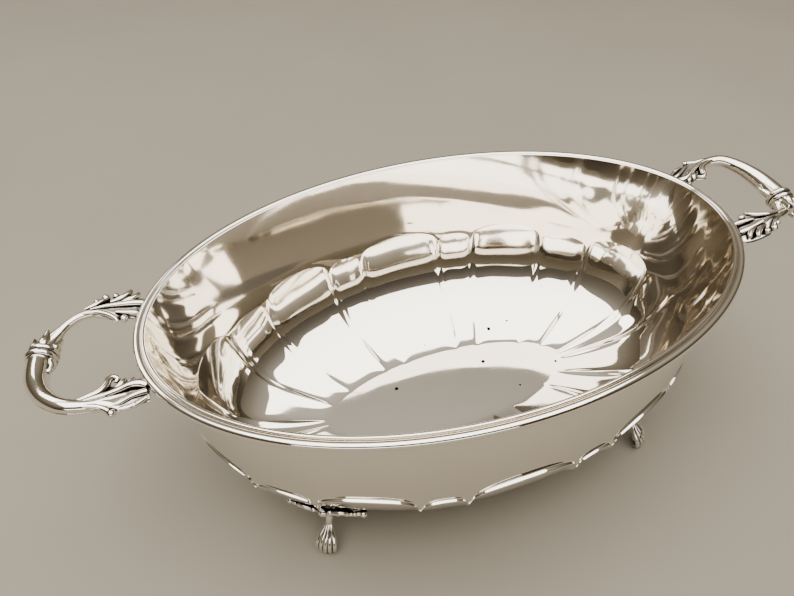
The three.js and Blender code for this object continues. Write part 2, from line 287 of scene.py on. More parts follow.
def cast_silver(look):
    """Cast and chased silver, buffed on its high places: bright ridges over recesses, which are
    painted brown-black as shade wherever they are shut in, with uneven wear patches mixed in."""
    mat = bpy.data.materials.get("cast_silver_painted_shade_recesses")
    if mat:
        return mat
    mat = bpy.data.materials.new("cast_silver_painted_shade_recesses")
    mat.use_nodes = True
    tree = mat.node_tree
    shader = tree.nodes["Principled BSDF"]
    where = add(tree, "ShaderNodeTexCoord").outputs["Object"]
    # How shut in a spot is within 2 mm; crowded hollows between ribs come out dark, as painted
    # shade.
    shut_in = add(tree, "ShaderNodeAmbientOcclusion", {"Distance": 2.2 * MM}, samples=8)
    # Uneven wear, patches about 3 mm across.
    wear = add(tree, "ShaderNodeTexNoise", {"Vector": where, "Scale": per(3.03), "Detail": 4.0})
    shifted = add(tree, "ShaderNodeMath",
                  {0: wear.outputs[0], 1: 0.3, 2: shut_in.outputs["AO"]},
                  operation="MULTIPLY_ADD")
    # Where this is low the metal is painted dark: painted shade in shut-in hollows, and patches
    # of uneven wear.
    clean_and_unshaded = add(tree, "ShaderNodeMapRange",
                {"Value": shifted.outputs[0], "From Min": 0.62, "From Max": 0.98},
                interpolation_type="SMOOTHSTEP")
    colour = add(tree, "ShaderNodeMix",
                 {"Factor": clean_and_unshaded.outputs[0], "A": (*look.tarnish_and_shade, 1.0),
                  "B": (*look.silver, 1.0)}, data_type="RGBA")
    rough = add(tree, "ShaderNodeMapRange",
                {"Value": clean_and_unshaded.outputs[0], "To Min": 0.48, "To Max": look.polish + 0.045})
    # Casting skin: a fine grain of about 0.5 mm under the polish.
    grain = add(tree, "ShaderNodeTexNoise", {"Vector": where, "Scale": per(0.5), "Detail": 2.0})
    bump = add(tree, "ShaderNodeBump",
               {"Height": grain.outputs[0], "Strength": 0.6, "Distance": 0.012 * MM})
    tree.links.new(bump.outputs[0], shader.inputs["Normal"])
    tree.links.new(colour.outputs["Result"], shader.inputs["Base Color"])
    tree.links.new(rough.outputs[0], shader.inputs["Roughness"])
    shader.inputs["Metallic"].default_value = 1.0
    return mat


def floor_paint(stage):
    """Matt painted board: an even pale ground with no shine and a faint mottle, in patches
    about 110 mm across."""
    mat = bpy.data.materials.new("matt_painted_board")
    mat.use_nodes = True
    tree = mat.node_tree
    shader = tree.nodes["Principled BSDF"]
    where = add(tree, "ShaderNodeTexCoord").outputs["Object"]
    mottle = add(tree, "ShaderNodeTexNoise",
                 {"Vector": where, "Scale": per(111.111), "Detail": 3.0})
    shade = add(tree, "ShaderNodeMapRange",
                {"Value": mottle.outputs[0], "To Min": 0.94, "To Max": 1.06})
    colour = add(tree, "ShaderNodeVectorMath",
                 {0: tuple(stage.floor), 1: shade.outputs[0]}, operation="MULTIPLY")
    tree.links.new(colour.outputs[0], shader.inputs["Base Color"])
    shader.inputs["Roughness"].default_value = 0.85
    return mat


# ---- the raised bowl ----

# Each row is a step of sums: its name, the operation, and what goes in, which is a number, an
# input of the tree or the name of an earlier row.
COLUMN_STEPS = [
    ("turned", "MULTIPLY", "column", 2 * math.pi),
    ("cos_turned", "COSINE", "turned"),
    ("sin_turned", "SINE", "turned"),
    ("side_x", "SIGN", "cos_turned"),
    ("side_y", "SIGN", "sin_turned"),
    ("angle", "MULTIPLY", "quarter", math.pi / 2),
    ("cos_angle", "COSINE", "angle"),
    ("sin_angle", "SINE", "angle"),
    ("c", "MULTIPLY", "cos_angle", "side_x"),
    ("s", "MULTIPLY", "sin_angle", "side_y"),
    # which lobe the column is on, and how far across it, 0 in the middle and 1 on a crease
    ("from_crease", "ADD", "lobes_passed", 0.5),
    ("lobe", "FLOOR", "from_crease"),
    ("share", "FRACT", "from_crease"),
    ("signed_across", "MULTIPLY_ADD", "share", 2.0, -1.0),
    ("across", "ABSOLUTE", "signed_across"),
    ("wide", "MODULO", "lobe", 2.0),
    # how high the lobe rises there
    ("arch_gain", "SUBTRACT", "Wide Arch", "Narrow Arch"),
    ("arch_size", "MULTIPLY_ADD", "wide", "arch_gain", "Narrow Arch"),
    ("across_arch", "POWER", "across", 2.25),
    ("arch_left", "SUBTRACT", 1.0, "across_arch"),
    ("arch_some", "MAXIMUM", "arch_left", 0.0),
    ("arch_round", "POWER", "arch_some", 1 / 2.25),
    ("arch", "MULTIPLY", "arch_round", "arch_size"),
    # how far it stands out, and how deep the crease is
    ("bulge_gain", "SUBTRACT", "Wide Bulge", "Narrow Bulge"),
    ("bulge_size", "MULTIPLY_ADD", "wide", "bulge_gain", "Narrow Bulge"),
    ("across_bulge", "POWER", "across", 3.2),
    ("dome", "SUBTRACT", 1.0, "across_bulge"),
    ("bulge", "MULTIPLY_ADD", "dome", "bulge_size", "Step"),
    ("across_crease", "POWER", "across", 5.0),
    ("crease", "MULTIPLY", "across_crease", "Crease"),
]
PROFILE_STEPS = [
    ("inner", "GREATER_THAN", "row", 1.0),
    ("sheet", "MULTIPLY", "inner", "Sheet"),
    # the belly, which turns from leaning in at the shoulder to level at the bottom
    ("drop", "SINE", "belly"),
    ("lean_sin", "SINE", "Belly Lean"),
    ("lean_cos", "COSINE", "Belly Lean"),
    ("lean_rest", "SUBTRACT", 1.0, "lean_sin"),
    ("turn_sin", "MULTIPLY_ADD", "drop", "lean_rest", "lean_sin"),
    ("turn_square", "MULTIPLY", "turn_sin", "turn_sin"),
    ("turn_rest", "SUBTRACT", 1.0, "turn_square"),
    ("turn_some", "MAXIMUM", "turn_rest", 0.0),
    ("turn_cos", "SQRT", "turn_some"),
    ("upright", "DIVIDE", "turn_cos", "lean_cos"),
    ("tilted", "SUBTRACT", 1.0, "upright"),
    ("inset", "MULTIPLY", "Bottom Inset", "tilted"),
    ("dished", "POWER", "drop", 8.0),
    # the creases run out as low ridges on the shallow slope
    ("undished", "SUBTRACT", 1.0, "dished"),
    ("slope_middle", "MULTIPLY", "dished", "undished"),
    ("ridge", "MULTIPLY", "slope_middle", "crease"),
    ("halfway", "MULTIPLY", "upright", "tilted"),
    ("halfway_full", "MULTIPLY", "halfway", 4.0),
    ("pressed", "MULTIPLY", "halfway_full", "crease"),
    ("fade", "POWER", "upright", 0.8),
    ("swell", "MULTIPLY", "bulge", "fade"),
    ("sheet_in", "MULTIPLY", "sheet", "turn_cos"),
    ("sheet_up", "MULTIPLY", "sheet", "turn_sin"),
    ("swell_inset", "SUBTRACT", "swell", "inset"),
    ("swell_pressed", "SUBTRACT", "swell_inset", "pressed"),
    ("belly_out", "SUBTRACT", "swell_pressed", "sheet_in"),
    ("arch_z", "ADD", "Shoulder Height", "arch"),
    ("ledge", "MULTIPLY", "bulge", "Ledge Slope"),
    ("belly_top", "SUBTRACT", "arch_z", "ledge"),
    ("belly_fall", "SUBTRACT", "Bottom Height", "belly_top"),
    ("belly_outside", "MULTIPLY_ADD", "belly_fall", "drop", "belly_top"),
    ("belly_ridge", "ADD", "belly_outside", "sheet_up"),
    ("belly_z", "ADD", "belly_ridge", "ridge"),
    # the smooth wall above, which widens towards the rim
    ("wall_fall", "SUBTRACT", "Wall Height", "arch_z"),
    ("wall_z", "MULTIPLY_ADD", "wall_fall", "wall", "arch_z"),
    ("above", "SUBTRACT", "wall_z", "Shoulder Height"),
    ("above_most", "SUBTRACT", "Wall Height", "Shoulder Height"),
    ("above_share", "DIVIDE", "above", "above_most"),
    ("flare", "POWER", "above_share", 1.3),
    ("flare_on", "MULTIPLY", "flare", "step_out"),
    ("length_gain", "SUBTRACT", "Top Half Length", "Shoulder Half Length"),
    ("half_length", "MULTIPLY_ADD", "flare_on", "length_gain", "Shoulder Half Length"),
    ("width_gain", "SUBTRACT", "Top Half Width", "Shoulder Half Width"),
    ("half_width", "MULTIPLY_ADD", "flare_on", "width_gain", "Shoulder Half Width"),
    # the ledge joins the two
    ("wall_out", "MULTIPLY", "sheet", -1.0),
    ("out_gain", "SUBTRACT", "wall_out", "belly_out"),
    ("out", "MULTIPLY_ADD", "out_gain", "step_out", "belly_out"),
    ("z_gain", "SUBTRACT", "wall_z", "belly_z"),
    ("z", "MULTIPLY_ADD", "z_gain", "step_up", "belly_z"),
    # a point on the oval, moved square to its outline
    ("normal_x", "DIVIDE", "c", "half_length"),
    ("normal_y", "DIVIDE", "s", "half_width"),
    ("normal_x_square", "MULTIPLY", "normal_x", "normal_x"),
    ("normal_square", "MULTIPLY_ADD", "normal_y", "normal_y", "normal_x_square"),
    ("normal_length", "SQRT", "normal_square"),
    ("facing_x", "DIVIDE", "normal_x", "normal_length"),
    ("facing_y", "DIVIDE", "normal_y", "normal_length"),
    ("oval_x", "MULTIPLY", "half_length", "c"),
    ("oval_y", "MULTIPLY", "half_width", "s"),
    ("edge_x", "MULTIPLY_ADD", "out", "facing_x", "oval_x"),
    ("edge_y", "MULTIPLY_ADD", "out", "facing_y", "oval_y"),
    # drawn in towards the flat bottom by the shallow slope, then on to its middle
    ("dish_width", "MULTIPLY", "dished", "Dish"),
    ("curve_length", "SUBTRACT", "Shoulder Half Length", "Bottom Inset"),
    ("curve_width", "SUBTRACT", "Shoulder Half Width", "Bottom Inset"),
    ("drawn_x", "DIVIDE", "dish_width", "curve_length"),
    ("drawn_y", "DIVIDE", "dish_width", "curve_width"),
    ("left_x", "SUBTRACT", 1.0, "drawn_x"),
    ("left_y", "SUBTRACT", 1.0, "drawn_y"),
    ("slope_x", "MULTIPLY", "edge_x", "left_x"),
    ("slope_y", "MULTIPLY", "edge_y", "left_y"),
    ("x", "MULTIPLY", "slope_x", "bottom"),
    ("y", "MULTIPLY", "slope_y", "bottom"),
]
# Shares of the profile, from the middle of the bottom to the top edge, at which the belly,
# the ledge and the wall start.
BELLY_FROM, LEDGE_FROM, WALL_FROM = 0.1, 0.6, 0.7


def run_steps(tree, steps, known):
    """Adds one Math node for each step and keeps its result in known."""
    for name, operation, *args in steps:
        inputs = {i: known.get(a, a) for i, a in enumerate(args)}
        known[name] = add(tree, "ShaderNodeMath", inputs, operation=operation).outputs[0]


def new_tree(name, sizes):
    """A geometry tree with one geometry input and output and a named input for each size."""
    tree = bpy.data.node_groups.new(name, "GeometryNodeTree")
    face = tree.interface
    face.new_socket("Geometry", in_out="INPUT", socket_type="NodeSocketGeometry")
    for label, kind in sizes:
        face.new_socket(label, in_out="INPUT", socket_type=kind)
    face.new_socket("Geometry", in_out="OUTPUT", socket_type="NodeSocketGeometry")
    return tree, add(tree, "NodeGroupInput")


def finish_tree(tree, geometry):
    """Ends a tree with smooth shading, real instances and its material."""
    start = next(n for n in tree.nodes if n.type == "GROUP_INPUT")
    smooth = add(tree, "GeometryNodeSetShadeSmooth", {0: geometry})
    real = add(tree, "GeometryNodeRealizeInstances", {0: smooth.outputs[0]})
    metal = add(tree, "GeometryNodeSetMaterial",
                {0: real.outputs[0], "Material": start.outputs["Metal"]})
    add(tree, "NodeGroupOutput", {0: metal.outputs[0]})


BOWL_INPUTS = [
    ("Top Half Length", "top_half_length"), ("Top Half Width", "top_half_width"),
    ("Wall Height", "wall_height"), ("Shoulder Half Length", "shoulder_half_length"),
    ("Shoulder Half Width", "shoulder_half_width"), ("Shoulder Height", "shoulder_height"),
    ("Bottom Height", "bottom_height"), ("Bottom Inset", "bottom_inset"), ("Dish", "dish"),
    ("Belly Lean", "belly_lean"), ("Wide Arch", "wide_arch"), ("Narrow Arch", "narrow_arch"),
    ("Wide Bulge", "wide_bulge"), ("Narrow Bulge", "narrow_bulge"), ("Crease", "crease"),
    ("Step", "step"), ("Ledge Slope", "ledge_slope"), ("Sheet", "sheet"),
]
COLUMNS_PER_LOBE = 24
ROWS = 144


def bowl_tree():
    """The fluted bowl: a flat grid of columns and rows is bent into the raised sheet, its
    outside and inside in one, by the steps above."""
    tree, start = new_tree(
        "Fluted Oval Bowl",
        [(label, "NodeSocketFloat") for label, _ in BOWL_INPUTS]
        + [("Metal", "NodeSocketMaterial")])
    known = {label: start.outputs[label] for label, _ in BOWL_INPUTS}
    grid = add(tree, "GeometryNodeMeshGrid",
               {"Size X": 1.0, "Size Y": 2.0, "Vertices X": LOBES * COLUMNS_PER_LOBE + 1,
                "Vertices Y": ROWS})
    flat = add(tree, "ShaderNodeSeparateXYZ",
               {0: add(tree, "GeometryNodeInputPosition").outputs[0]})
    known["grid_x"], known["grid_y"] = flat.outputs[0], flat.outputs[1]
    run_steps(tree, [
        ("column", "ADD", "grid_x", 0.5),
        ("lobes_passed", "MULTIPLY", "column", float(LOBES)),
        ("folded", "PINGPONG", "lobes_passed", LOBES / 4),
        ("quarter_share", "DIVIDE", "folded", LOBES / 4),
        ("row", "ADD", "grid_y", 1.0),
        ("row_folded", "PINGPONG", "row", 1.0),
        ("up", "DIVIDE", "row_folded", 1 - 1 / (ROWS - 1)),
    ], known)
    spread = add(tree, "ShaderNodeFloatCurve", {"Value": known["quarter_share"]})
    curve = spread.mapping.curves[0]
    for passed, degrees in CREASES[1:-1]:
        curve.points.new(passed / CREASES[-1][0], degrees / 90)
    for point in curve.points:
        point.handle_type = "VECTOR"
    spread.mapping.update()
    known["quarter"] = spread.outputs[0]
    ranges = [
        ("bottom", 0.0, BELLY_FROM, 0.0, 1.0, "LINEAR"),
        ("belly", BELLY_FROM, LEDGE_FROM, math.pi / 2, 0.0, "LINEAR"),
        ("step_out", LEDGE_FROM, WALL_FROM, 0.0, 1.0, "SMOOTHSTEP"),
        ("step_up", LEDGE_FROM, WALL_FROM, 0.0, 1.0, "LINEAR"),
        ("wall", WALL_FROM, 1.0, 0.0, 1.0, "LINEAR"),
    ]
    for name, low, high, first, last, kind in ranges:
        known[name] = add(tree, "ShaderNodeMapRange",
                          {"Value": known["up"], "From Min": low, "From Max": high,
                           "To Min": first, "To Max": last},
                          interpolation_type=kind).outputs[0]
    run_steps(tree, COLUMN_STEPS, known)
    run_steps(tree, PROFILE_STEPS, known)
    spot = add(tree, "ShaderNodeCombineXYZ", {0: known["x"], 1: known["y"], 2: known["z"]})
    bent = add(tree, "GeometryNodeSetPosition", {0: grid.outputs[0], "Position": spot.outputs[0]})
    closed = add(tree, "GeometryNodeMergeByDistance", {0: bent.outputs[0], "Distance": WELD})
    finish_tree(tree, closed.outputs[0])
    return tree


def set_inputs(modifier, values):
    """Sets a tree's inputs by the identifiers of their sockets."""
    for item in modifier.node_group.interface.items_tree:
        if item.item_type == "SOCKET" and item.in_out == "INPUT" and item.name in values:
            modifier[item.identifier] = values[item.name]


def grown(name, base, tree, values):
    """The plain mesh that a geometry tree makes of the base mesh."""
    maker = bpy.data.objects.new(name + "_maker", base)
    bpy.context.scene.collection.objects.link(maker)
    modifier = maker.modifiers.new("shape", "NODES")
    modifier.node_group = tree
    set_inputs(modifier, values)
    bpy.context.view_layer.update()
    seen = maker.evaluated_get(bpy.context.evaluated_depsgraph_get())
    mesh = bpy.data.meshes.new_from_object(seen)
    maker.modifiers.clear()
    bpy.data.objects.remove(maker)
    if not mesh.polygons:
        raise RuntimeError(f"{name} came out empty")
    mesh.name = name
    return mesh


def outward(mesh, crisp=40):
    """Turns faces outwards and keeps edges sharper than crisp degrees crisp."""
    work = bmesh.new()
    work.from_mesh(mesh)
    bmesh.ops.recalc_face_normals(work, faces=work.faces[:])
    work.to_mesh(mesh)
    work.free()
    mesh.set_sharp_from_angle(angle=math.radians(crisp))


def place(name, mesh, nodes):
    """Puts a finished mesh in the scene as a piece that stands for those CAD nodes."""
    piece = bpy.data.objects.new(name, mesh)
    bpy.context.scene.collection.objects.link(piece)
    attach(piece, "root")
    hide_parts(*nodes)
    return piece


# ---- rods and beads ----


class Casting:
    """Bars, beads and plates of one casting, in millimetres, gathered for the rod tree."""

    def __init__(self, to_place):
        self.to_place = to_place
        self.points, self.edges, self.faces = [], [], []
        self.thick, self.bead, self.plate = [], [], []

    def _keep(self, point, thick=0.0, bead=0.0, plate=0.0):
        self.points.append(self.to_place @ Vector(point) * MM)
        self.thick.append(thick * MM)
        self.bead.append(bead * MM)
        self.plate.append(plate)
        return len(self.points) - 1

    def rod(self, stops, steps=8, closed=False):
        """A round bar through stops (x, y, z, radius), smooth in place and radius."""
        line = smooth([Vector(s) for s in stops], steps, closed)
        kept = [self._keep(p[:3], thick=max(p[3], 0.04)) for p in line]
        self.edges += list(zip(kept, kept[1:]))
        if closed:
            self.edges.append((kept[-1], kept[0]))

    def ball(self, point, radius):
        self._keep(point, bead=radius)

    def skin(self, rings):
        """A closed plate through rings of points, with a fan at each end."""
        kept = [[self._keep(p, plate=1.0) for p in ring] for ring in rings]
        count = len(rings[0])
        for here, there in zip(kept, kept[1:]):
            for i in range(count):
                j = (i + 1) % count
                self.faces.append((here[i], here[j], there[j], there[i]))
        for ring, source in ((kept[0], rings[0]), (kept[-1], rings[-1])):
            middle = sum((Vector(p) for p in source), Vector()) / count
            hub = self._keep(middle, plate=1.0)
            for i in range(count):
                self.faces.append((hub, ring[i], ring[(i + 1) % count]))

    def mesh(self, name):
        base = bpy.data.meshes.new(name + "_base")
        base.from_pydata(self.points, self.edges, self.faces)
        for label, values in (("thick", self.thick), ("bead", self.bead), ("plate", self.plate)):
            base.attributes.new(label, "FLOAT", "POINT").data.foreach_set("value", values)
        return base


def smooth(stops, steps, closed=False):
    """Points on a Catmull-Rom curve through the stops."""
    line = []
    count = len(stops)
    last = count if closed else count - 1
    for i in range(last):
        if closed:
            a, b, c, d = (stops[(i + k - 1) % count] for k in range(4))
        else:
            b, c = stops[i], stops[i + 1]
            a = stops[i - 1] if i else b * 2 - c
            d = stops[i + 2] if i + 2 < count else c * 2 - b
        for k in range(steps):
            t = k / steps
            line.append(
                (b * 2 + (c - a) * t + (a * 2 - b * 5 + c * 4 - d) * t**2
                 + (b * 3 - a - c * 3 + d) * t**3) / 2)
    if not closed:
        line.append(stops[-1])
    return line


def rod_tree():
    """Sweeps a round bar along every marked edge path, sets a bead on every marked point and
    passes the plates through."""
    tree, start = new_tree(
        "Cast Rods And Beads",
        [("Rod Sides", "NodeSocketInt"), ("Bead Detail", "NodeSocketInt"),
         ("Metal", "NodeSocketMaterial")])
    source = start.outputs["Geometry"]
    size = {}
    marked = {}
    for label in ("thick", "bead", "plate"):
        size[label] = add(tree, "GeometryNodeInputNamedAttribute", {"Name": label},
                          data_type="FLOAT").outputs[0]
        marked[label] = add(tree, "ShaderNodeMath", {0: size[label], 1: MARKED},
                            operation="GREATER_THAN").outputs[0]
    lines = add(tree, "GeometryNodeMeshToCurve", {0: source, "Selection": marked["thick"]})
    ring = add(tree, "GeometryNodeCurvePrimitiveCircle",
               {"Resolution": start.outputs["Rod Sides"], "Radius": 1.0})
    bars = add(tree, "GeometryNodeCurveToMesh",
               {"Curve": lines.outputs[0], "Profile Curve": ring.outputs[0],
                "Scale": size["thick"], "Fill Caps": True})
    spots = add(tree, "GeometryNodeSeparateGeometry",
                {0: source, "Selection": marked["bead"]}, domain="POINT")
    ball = add(tree, "GeometryNodeMeshIcoSphere",
               {"Radius": 1.0, "Subdivisions": start.outputs["Bead Detail"]})
    beads = add(tree, "GeometryNodeInstanceOnPoints",
                {"Points": spots.outputs[0], "Instance": ball.outputs[0],
                 "Scale": size["bead"]})
    plates = add(tree, "GeometryNodeSeparateGeometry",
                 {0: source, "Selection": marked["plate"]}, domain="POINT")
    joined = add(tree, "GeometryNodeJoinGeometry")
    for geometry in (plates.outputs[0], bars.outputs[0], beads.outputs[0]):
        tree.links.new(geometry, joined.inputs[0])
    finish_tree(tree, joined.outputs[0])
    return tree


def cast_piece(name, casting, metal, nodes, settings):
    tree = bpy.data.node_groups.get("Cast Rods And Beads") or rod_tree()
    mesh = grown(name, casting.mesh(name), tree,
                 {"Rod Sides": settings.cast.rod_sides,
                  "Bead Detail": settings.cast.bead_detail, "Metal": metal})
    outward(mesh)
    return place(name, mesh, nodes)


# ---- the rim ----

RIM_STEPS = 360
# Each roll as (out from the top of the wall, depth below the top of the rim, radius).
RIM_ROLLS = [(1.2, 1.28, 1.2), (-0.55, 0.6, 0.56), (0.62, 2.86, 0.46)]


def rim_rolls(settings):
    """The soldered moulding: one full roll outside the wall, a bead over the wall's edge and
    a thin bead under the roll."""
    bowl = settings.bowl
    top = RIM_HIGH.z / MM
    rim = Casting(Matrix.Identity(3))
    for out, depth, radius in RIM_ROLLS:
        stops = []
        for i in range(RIM_STEPS):
            angle = i / RIM_STEPS * 2 * math.pi
            point = oval(angle, bowl.top_half_length / MM, bowl.top_half_width / MM, out)
            stops.append((point.x, point.y, top - depth, radius))
        rim.rod(stops, steps=1, closed=True)
    return rim


def oval(angle, half_length, half_width, out):
    """Point on an oval, moved square to its outline by out."""
    point = Vector((half_length * math.cos(angle), half_width * math.sin(angle)))
    facing = Vector((point.x / half_length**2, point.y / half_width**2)).normalized()
    return point + facing * out


# ---- the handles, drawn for the -X end ----

HANDLE_Z = RIM_HIGH.z / MM - HANDLE_DROP
LOOP_MIDDLE = Vector((-108, -2))

# Bars of a handle as (x, y, rise above where the handle meets the rim, radius).
LOWER_ARM = [
    (-97.5, -16.6, 1.6, 0.9), (-101.5, -17.6, 2.6, 1.3), (-105.4, -18.5, 3.3, 1.65),
    (-110.4, -17.6, 4.1, 1.95), (-113.8, -15.2, 3.9, 2.15), (-117.2, -10.6, 2.9, 2.5),
    (-119.5, -4.6, 1.5, 3.0), (-120.0, 2.5, 0.5, 3.25), (-119.5, 5.0, 0.25, 3.2),
]
UPPER_ARM = [
    (-117.0, 10.4, 0.6, 1.5), (-115.05, 12.25, 1.4, 1.25), (-112.6, 14, 2.2, 1.15),
    (-109.4, 15.2, 2.9, 1.15), (-106.4, 15.6, 2.9, 1.25), (-101.5, 16.2, 2.2, 1.2),
    (-97, 16.6, 1.4, 0.9),
]
CALYX_CORE = [
    (-119.3, 6.0, 0.1, 3.0), (-118.7, 8.6, 0.1, 3.1), (-117.2, 10.6, 0.6, 2.4),
    (-115.4, 12.0, 1.3, 1.6), (-114.2, 12.9, 1.8, 1.25),
]
INNER_CURL = [
    (-117.4, 4.0, 0.6, 1.2), (-116.6, 1.8, 1.0, 1.15), (-116.2, 0.0, 1.3, 0.95),
    (-116.7, -1.5, 1.6, 0.75), (-117.7, -1.5, 1.9, 0.6), (-117.9, -0.5, 2.1, 0.45),
]
LOWER_LEAF_RIBS = [
    # the rib that runs up into the hook inside the loop
    [(-108.9, -17.5, 5.0, 0.3), (-105.6, -16.9, 4.8, 0.75), (-102.9, -15.8, 4.4, 0.95),
     (-101.5, -14.0, 4.1, 1.0), (-101.0, -12.2, 3.8, 0.95), (-99.9, -11.3, 3.6, 0.8),
     (-98.9, -12.0, 3.4, 0.7), (-99.4, -13.0, 3.2, 0.5)],
    # the middle rib, which swells into the rim
    [(-106.5, -17.9, 5.0, 0.25), (-102.5, -17.2, 4.2, 0.7), (-99.0, -15.9, 3.4, 0.85),
     (-96.2, -14.4, 2.5, 1.1), (-94.0, -14.2, 1.8, 1.35), (-92.4, -14.9, 1.2, 1.3)],
    # the outer rib, which ends in a ball
    [(-108.6, -19.0, 4.8, 0.3), (-105.4, -19.4, 4.2, 0.7), (-102.8, -20.2, 3.4, 0.75),
     (-101.2, -21.4, 2.8, 0.9)],
    [(-101.0, -20.0, 2.9, 0.3), (-98.6, -19.4, 2.6, 0.65), (-96.2, -18.0, 2.1, 0.75),
     (-94.2, -17.2, 1.6, 0.9), (-92.6, -16.8, 1.2, 0.9)],
    [(-99.4, -15.0, 3.2, 0.5), (-97.9, -13.6, 3.0, 0.8), (-97.2, -12.2, 2.7, 0.45)],
    [(-97.4, -14.4, 2.5, 0.5), (-96.0, -13.2, 2.3, 0.75), (-95.2, -12.1, 2.0, 0.45)],
    [(-99.6, -20.8, 1.9, 0.4), (-97.2, -20.7, 1.5, 0.7), (-95.0, -19.9, 1.1, 0.7),
     (-92.8, -18.6, 0.8, 0.6)],
]
LOWER_LEAF_BALLS = [((-100.8, -21.9, 2.3), 1.1), ((-95.6, -20.3, 1.2), 0.8)]
UPPER_LEAF_RIBS = [
    [(-107.8, 14.8, 4.3, 0.28), (-104.2, 14.4, 4.1, 0.65), (-101.4, 13.0, 3.6, 0.75),
     (-99.6, 11.3, 3.1, 0.7), (-99.0, 9.9, 2.8, 0.3)],
    [(-105.8, 15.8, 4.4, 0.25), (-101.4, 16.4, 3.7, 0.7), (-97.8, 16.8, 2.8, 0.9),
     (-94.8, 17.0, 2.0, 1.15), (-92.2, 16.8, 1.3, 1.15)],
    [(-107.4, 16.6, 4.2, 0.28), (-104.8, 17.6, 3.9, 0.75), (-103.2, 18.8, 3.6, 0.85),
     (-102.2, 19.6, 3.3, 0.8)],
    [(-100.6, 18.0, 3.4, 0.4), (-98.0, 18.8, 3.2, 0.85), (-96.0, 20.2, 3.0, 0.85),
     (-94.9, 21.6, 2.8, 0.6)],
    [(-98.0, 17.6, 2.8, 0.4), (-95.6, 18.2, 2.6, 0.85), (-93.9, 19.2, 2.4, 0.8),
     (-92.9, 20.4, 2.2, 0.55)],
    [(-99.4, 13.9, 3.0, 0.35), (-97.0, 13.4, 2.4, 0.75), (-94.6, 13.0, 1.8, 0.9),
     (-93.4, 12.6, 1.3, 0.8)],
]
UPPER_LEAF_BALLS = [
    ((-104.2, 18.9, 3.7), 0.95), ((-101.9, 20.3, 3.3), 1.15), ((-99.2, 20.5, 3.0), 1.0),
    ((-97.4, 11.3, 2.0), 1.15),
]
# Webs of the two leaves: middle line with half widths to its two sides and half thickness.
LOWER_WEB = [
    (-108.6, -18.2, 3.9, 0.4, 0.4, 0.5), (-105.4, -18.5, 3.4, 2.0, 1.8, 1.5),
    (-103.0, -18.1, 3.0, 2.9, 2.7, 1.5), (-100.8, -17.2, 2.4, 5.4, 4.4, 1.2),
    (-98.6, -16.6, 1.8, 3.4, 4.2, 1.1), (-96.2, -16.2, 1.2, 4.2, 4.2, 1.0),
    (-94.0, -16.0, 0.6, 3.4, 3.4, 1.0), (-92.2, -16.0, 0.2, 2.6, 3.0, 0.9),
]
UPPER_WEB = [
    (-107.6, 15.5, 3.4, 0.4, 0.4, 0.4), (-105.0, 15.8, 3.1, 1.6, 1.8, 1.3),
    (-102.4, 16.2, 2.7, 3.4, 3.4, 1.2), (-100.2, 16.4, 2.2, 4.6, 4.8, 1.1),
    (-98.2, 16.6, 1.7, 4.6, 4.0, 1.0), (-96.0, 16.8, 1.2, 4.4, 4.8, 0.9),
    (-94.0, 17.0, 0.8, 4.0, 4.0, 0.9), (-92.4, 16.8, 0.4, 3.2, 3.0, 0.8),
]
# The collar's two heavy beads and the fillet below them, as (shift, out, radius).
COLLAR_RINGS = [(-1.05, 3.3, 0.95), (1.0, 3.2, 0.9), (-2.35, 3.0, 0.42)]
LONG_PETAL, SHORT_PETAL = 6.8, 5.6  # how far the bud's leaves reach along the collar's axis


def raised(bar):
    """A bar given by its rise, as (x, y, z, radius)."""
    return [(x, y, HANDLE_Z + rise, radius) for x, y, rise, radius in bar]


def collar_point(shift, out, angle):
    """Point round the collar: shift along its axis, out from it, at an angle about it."""
    across = COLLAR_AXIS.cross(Vector((0, 0, 1))).normalized()
    up = across.cross(COLLAR_AXIS)
    middle = Vector((COLLAR_AT[0], COLLAR_AT[1], HANDLE_Z + COLLAR_AT[2]))
    spoke = across * math.cos(angle) + up * math.sin(angle)
    return middle + COLLAR_AXIS * shift + spoke * out


def web(casting, stops):
    """A leaf's web: a lens-shaped plate along its middle line."""
    line = smooth([Vector(s) for s in stops], 5)
    sides = 20
    rings = []
    for i, stop in enumerate(line):
        before, after = line[max(i - 1, 0)], line[min(i + 1, len(line) - 1)]
        along = Vector((after[0] - before[0], after[1] - before[1], 0)).normalized()
        side = Vector((-along.y, along.x, 0))
        ring = []
        for k in range(sides):
            a = k / sides * 2 * math.pi
            reach = math.cos(a) * (stop[3] if math.cos(a) > 0 else stop[4])
            lift = math.sin(a) * stop[5] + 0.5 * math.sin(a) ** 2
            middle = Vector((stop[0], stop[1], HANDLE_Z + stop[2] - 0.7))
            ring.append(middle + side * reach + Vector((0, 0, lift)))
        rings.append(ring)
    casting.skin(rings)


